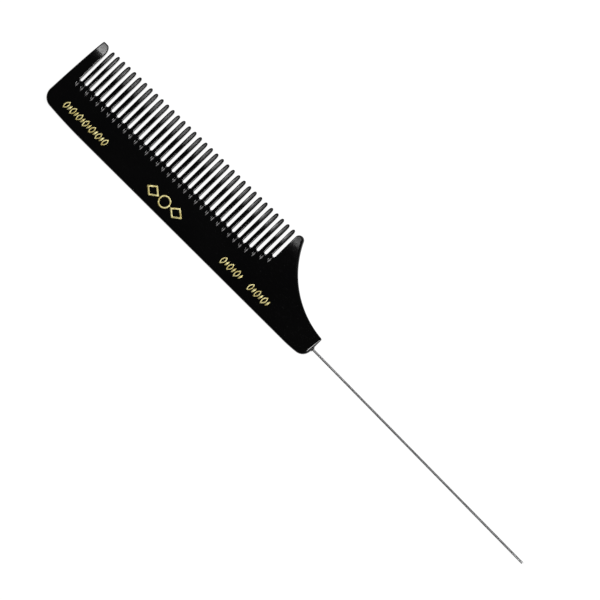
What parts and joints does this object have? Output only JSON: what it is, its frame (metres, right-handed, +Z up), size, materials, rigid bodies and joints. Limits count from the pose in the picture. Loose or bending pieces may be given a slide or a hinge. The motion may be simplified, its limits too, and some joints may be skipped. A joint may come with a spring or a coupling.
{
  "type": "rat tail comb",
  "caption": "Flat black hair comb with fine sawn teeth between its guard teeth, gold foil ornaments, a curved neck and a long straight steel pin tail.",
  "frame": {"origin": "centre of the bounding box, on the surface that the comb lies on", "axes": "+X along the comb towards the tip of the pin tail, +Y from the spine towards the tips of the teeth, +Z up out of the stamped face"},
  "size_m": [0.225, 0.0294, 0.0042],
  "materials": {
    "black_acetate": "polished",
    "steel_wire": "drawn and polished",
    "cement": "matte",
    "gold_foil": "hot-stamped foil"
  },
  "bodies": {
    "root": {"comb_plate": "black_acetate", "tail_pin": "steel_wire", "pin_cement": "cement", "foil_mark_left": "gold_foil", "foil_mark_centre": "gold_foil", "foil_mark_right": "gold_foil"}
  },
  "joints": []
}
